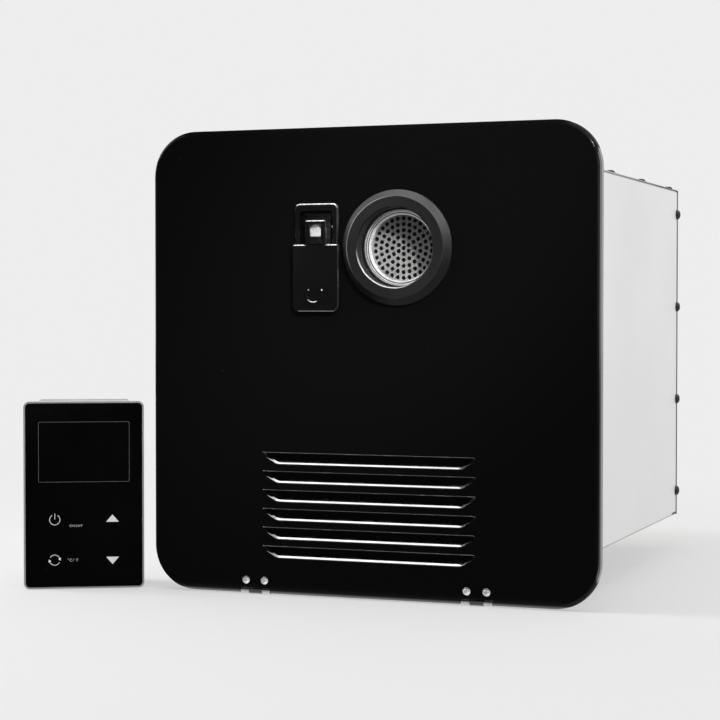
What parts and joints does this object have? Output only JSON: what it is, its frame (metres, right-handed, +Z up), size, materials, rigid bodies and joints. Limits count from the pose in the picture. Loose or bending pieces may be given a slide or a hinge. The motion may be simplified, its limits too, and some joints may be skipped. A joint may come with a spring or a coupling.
{
  "type": "on-demand propane water heater",
  "caption": "Flush-mount tankless gas water heater: square black access door with louvres, round exhaust and slide latch, pale steel cabinet, and a separate wall controller.",
  "frame": {"origin": "on the wall plane at the back of the mounting flange, centred across it, at the height of its bottom rim", "axes": "+X to the right seen from the front, +Y into the cabinet away from the door, +Z up"},
  "size_m": [0.4931, 0.5125, 0.381],
  "materials": {
    "casing_paint": "pale satin coil-coated steel sheet",
    "zinc_screws": "bright zinc-plated steel",
    "door_paint": "near-black satin-gloss enamel",
    "latch_paint": "near-black gloss enamel",
    "zinc_steel": "zinc-plated sheet steel",
    "spring_steel": "drawn steel wire and rod",
    "stainless": "stainless steel",
    "copper_core": "copper, dulled by heat",
    "brass": "machined brass",
    "cast_valve": "die-cast aluminium",
    "gas_pipe_paint": "drawn aluminium tube",
    "black_plastic": "matte black moulding",
    "pale_plastic": "pale grey moulding",
    "circuit_board": "green laminate",
    "grommet_rubber": "black rubber",
    "controller_rim": "silver-grey moulding",
    "controller_glass": "black back-printed acrylic front",
    "display": "unlit liquid crystal display"
  },
  "bodies": {
    "cabinet": {"mounting_frame": "casing_paint", "casing_wrap": "casing_paint", "top_cover": "casing_paint", "rear_panel": "casing_paint", "rear_panel_screws": "zinc_screws", "top_cover_screws": "zinc_screws", "hinge_frame_leaves": "zinc_steel", "hinge_frame_rivets": "zinc_steel", "exhaust_tube": "stainless", "exhaust_screen": "stainless", "service_panel": "zinc_steel", "latch_keeper": "zinc_steel", "switch_body": "black_plastic", "burner_tray": "zinc_steel", "burner_bars": "stainless", "combustion_chamber": "zinc_steel", "exchanger_fins": "copper_core", "exchanger_shell": "copper_core", "exchanger_tube": "copper_core", "flue_hood": "zinc_steel", "volute_housing": "zinc_steel", "blower_motor": "cast_valve", "ignition_electrodes": "spring_steel", "igniter_module": "black_plastic", "gas_inlet_fitting": "brass", "cold_inlet_fitting": "brass", "hot_outlet_fitting": "brass", "gas_valve": "cast_valve", "gas_pipe": "gas_pipe_paint", "gas_manifold": "zinc_steel", "water_tees": "brass", "cold_pipes": "copper_core", "hot_pipe": "copper_core", "water_risers": "copper_core", "flow_sensor": "black_plastic", "turbine_axle": "spring_steel", "drain_plugs": "brass", "control_box_base": "black_plastic", "control_box_cover": "black_plastic", "control_board": "circuit_board", "cable_grommet": "grommet_rubber", "controller_housing": "controller_rim", "controller_glass": "controller_glass", "controller_display": "display", "controller_board": "circuit_board", "controller_back_box": "pale_plastic"},
    "door": {"access_door": "door_paint", "exhaust_grommet": "door_paint", "latch_bezel": "door_paint", "latch_spring": "spring_steel", "hinge_door_leaves": "zinc_steel", "hinge_pins": "zinc_steel", "hinge_door_rivets": "zinc_steel"},
    "latch": {"latch_slide": "latch_paint", "latch_retainer": "zinc_steel"},
    "blower_rotor": {"blower_impeller": "pale_plastic", "blower_shaft": "spring_steel"},
    "rocker": {"switch_rocker": "black_plastic"},
    "turbine": {"flow_turbine": "pale_plastic"}
  },
  "joints": [
    {"name": "door_hinge", "type": "hinge", "parent": "cabinet", "child": "door", "pos_m": [0, -0.01, 0.0024], "axis": [1, 0, 0], "range_deg": [0, 88]},
    {"name": "latch_slide", "type": "slide", "parent": "door", "child": "latch", "axis": [0, 0, 1], "range_m": [0, 0.006], "stiffness_N_per_m": 60, "springref_m": -0.01, "deforming": ["latch_spring"]},
    {"name": "blower_spin", "type": "hinge", "parent": "cabinet", "child": "blower_rotor", "pos_m": [-0.013, 0.151, 0.2832], "axis": [0, 0, 1], "continuous": true},
    {"name": "switch_rock", "type": "hinge", "parent": "cabinet", "child": "rocker", "pos_m": [-0.115, 0.019, 0.225], "axis": [-1, 0, 0], "range_deg": [0, 20]},
    {"name": "turbine_spin", "type": "hinge", "parent": "cabinet", "child": "turbine", "pos_m": [0.104, 0.327, 0.072], "axis": [0, 1, 0], "continuous": true}
  ]
}
